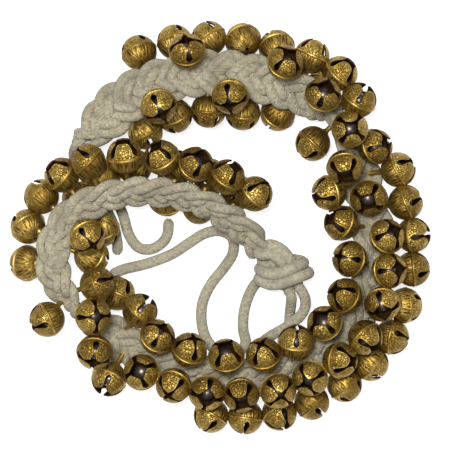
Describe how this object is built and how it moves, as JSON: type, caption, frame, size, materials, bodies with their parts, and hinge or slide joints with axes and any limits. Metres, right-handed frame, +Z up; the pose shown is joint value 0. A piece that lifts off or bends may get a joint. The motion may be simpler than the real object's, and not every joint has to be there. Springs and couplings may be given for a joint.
{
  "type": "ghungroo ankle bells",
  "caption": "Dancer's ankle bells: cast brass crotal bells with rattling pellets, swinging along a plaited cotton band that lies in an open spiral, with a bound knot and loose tie cords.",
  "frame": {"origin": "on the surface it lies on, under the middle of the box around the band and its bells, the free tie cords left out", "axes": "+Z up from the surface, +X along the longer side of the spiral towards its closed right side, +Y towards the run that holds the far end of the band"},
  "size_m": [0.2114, 0.207, 0.0492],
  "materials": {
    "brass": "cast, rubbed bright on the high spots and dark in the slots",
    "cotton": "undyed, soft plaited cord",
    "steel": "dull grey ball"
  },
  "bodies": {
    "string": {"braided_band": "cotton", "knot_core": "cotton", "knot_wrap": "cotton", "long_tie_cord": "cotton", "left_foot_cord": "cotton", "right_foot_cord": "cotton", "near_end_cord": "cotton", "far_end_cord": "cotton", "bell_chain_01": "brass", "bell_chain_02": "brass", "bell_chain_03": "brass", "bell_chain_04": "brass", "bell_chain_05": "brass", "bell_chain_06": "brass", "bell_chain_07": "brass", "bell_chain_08": "brass", "bell_chain_09": "brass", "bell_chain_10": "brass", "bell_chain_11": "brass", "bell_chain_12": "brass", "bell_chain_13": "brass", "bell_chain_14": "brass", "bell_chain_15": "brass", "bell_chain_16": "brass", "bell_chain_17": "brass", "bell_chain_18": "brass", "bell_chain_19": "brass", "bell_chain_20": "brass", "bell_chain_21": "brass", "bell_chain_22": "brass", "bell_chain_23": "brass", "bell_chain_24": "brass", "bell_chain_25": "brass", "bell_chain_26": "brass", "bell_chain_27": "brass", "bell_chain_28": "brass"},
    "bell_01": {"bell_01": "brass"},
    "pellet_01": {"pellet_01": "steel"},
    "bell_02": {"bell_02": "brass"},
    "pellet_02": {"pellet_02": "steel"},
    "bell_03": {"bell_03": "brass"},
    "pellet_03": {"pellet_03": "steel"},
    "bell_04": {"bell_04": "brass"},
    "pellet_04": {"pellet_04": "steel"},
    "bell_05": {"bell_05": "brass"},
    "pellet_05": {"pellet_05": "steel"},
    "bell_06": {"bell_06": "brass"},
    "pellet_06": {"pellet_06": "steel"},
    "bell_07": {"bell_07": "brass"},
    "pellet_07": {"pellet_07": "steel"},
    "bell_08": {"bell_08": "brass"},
    "pellet_08": {"pellet_08": "steel"},
    "bell_09": {"bell_09": "brass"},
    "pellet_09": {"pellet_09": "steel"},
    "bell_10": {"bell_10": "brass"},
    "pellet_10": {"pellet_10": "steel"},
    "bell_11": {"bell_11": "brass"},
    "pellet_11": {"pellet_11": "steel"},
    "bell_12": {"bell_12": "brass"},
    "pellet_12": {"pellet_12": "steel"}
  },
  "joints": [
    {"name": "bell_01_swing", "type": "hinge", "parent": "string", "child": "bell_01", "pos_m": [-0.06971, 0.00157, 0.03022], "axis": [-0.7453, -0.6602, -0.0929], "range_deg": [0, 60]},
    {"name": "pellet_01_rattle", "type": "slide", "parent": "bell_01", "child": "pellet_01", "axis": [0, 0, 1], "range_m": [0, 0.0066]},
    {"name": "bell_02_swing", "type": "hinge", "parent": "string", "child": "bell_02", "pos_m": [0.02935, 0.07606, 0.03066], "axis": [-0.9427, 0.3076, 0.1291], "range_deg": [-60, 0]},
    {"name": "pellet_02_rattle", "type": "slide", "parent": "bell_02", "child": "pellet_02", "axis": [0, 0, 1], "range_m": [0, 0.0066]},
    {"name": "bell_03_swing", "type": "hinge", "parent": "string", "child": "bell_03", "pos_m": [0.00601, 0.07117, 0.0308], "axis": [-0.9941, 0.1085, 0], "range_deg": [0, 60]},
    {"name": "pellet_03_rattle", "type": "slide", "parent": "bell_03", "child": "pellet_03", "axis": [0, 0, 1], "range_m": [0, 0.0066]},
    {"name": "bell_04_swing", "type": "hinge", "parent": "string", "child": "bell_04", "pos_m": [-0.01527, 0.08088, 0.0308], "axis": [-0.9907, -0.1363, 0], "range_deg": [-60, 0]},
    {"name": "pellet_04_rattle", "type": "slide", "parent": "bell_04", "child": "pellet_04", "axis": [0, 0, 1], "range_m": [0, 0.0066]},
    {"name": "bell_05_swing", "type": "hinge", "parent": "string", "child": "bell_05", "pos_m": [-0.03277, 0.06585, 0.03078], "axis": [-0.9128, -0.4084, -0.0052], "range_deg": [0, 60]},
    {"name": "pellet_05_rattle", "type": "slide", "parent": "bell_05", "child": "pellet_05", "axis": [0, 0, 1], "range_m": [0, 0.0066]},
    {"name": "bell_06_swing", "type": "hinge", "parent": "string", "child": "bell_06", "pos_m": [-0.06141, -0.0552, 0.01954], "axis": [0.7788, -0.5328, -0.3311], "range_deg": [0, 15]},
    {"name": "pellet_06_rattle", "type": "slide", "parent": "bell_06", "child": "pellet_06", "axis": [0, 0, 1], "range_m": [0, 0.0066]},
    {"name": "bell_07_swing", "type": "hinge", "parent": "string", "child": "bell_07", "pos_m": [0.03415, 0.06328, 0.01742], "axis": [-0.8836, 0.4164, 0.2142], "range_deg": [0, 15]},
    {"name": "pellet_07_rattle", "type": "slide", "parent": "bell_07", "child": "pellet_07", "axis": [0, 0, 1], "range_m": [0, 0.0066]},
    {"name": "bell_08_swing", "type": "hinge", "parent": "string", "child": "bell_08", "pos_m": [-0.04579, 0.02497, 0.03233], "axis": [-0.9925, -0.0839, -0.0894], "range_deg": [-15, 0]},
    {"name": "pellet_08_rattle", "type": "slide", "parent": "bell_08", "child": "pellet_08", "axis": [0, 0, 1], "range_m": [0, 0.0066]},
    {"name": "bell_09_swing", "type": "hinge", "parent": "string", "child": "bell_09", "pos_m": [-0.08908, -0.01811, 0.01948], "axis": [0.0978, -0.9907, -0.0949], "range_deg": [-15, 0]},
    {"name": "pellet_09_rattle", "type": "slide", "parent": "bell_09", "child": "pellet_09", "axis": [0, 0, 1], "range_m": [0, 0.0066]},
    {"name": "bell_10_swing", "type": "hinge", "parent": "string", "child": "bell_10", "pos_m": [0.0039, -0.07061, 0.01821], "axis": [0.9954, -0.0397, 0.0873], "range_deg": [-15, 0]},
    {"name": "pellet_10_rattle", "type": "slide", "parent": "bell_10", "child": "pellet_10", "axis": [0, 0, 1], "range_m": [0, 0.0066]},
    {"name": "bell_11_swing", "type": "hinge", "parent": "string", "child": "bell_11", "pos_m": [0.07189, -0.01748, 0.01683], "axis": [0.1016, 0.9889, -0.1087], "range_deg": [-15, 0]},
    {"name": "pellet_11_rattle", "type": "slide", "parent": "bell_11", "child": "pellet_11", "axis": [0, 0, 1], "range_m": [0, 0.0066]},
    {"name": "bell_12_swing", "type": "hinge", "parent": "string", "child": "bell_12", "pos_m": [-0.03639, 0.07792, 0.02233], "axis": [-0.9235, -0.3836, 0], "range_deg": [-15, 0]},
    {"name": "pellet_12_rattle", "type": "slide", "parent": "bell_12", "child": "pellet_12", "axis": [0, 0, 1], "range_m": [0, 0.0066]}
  ]
}
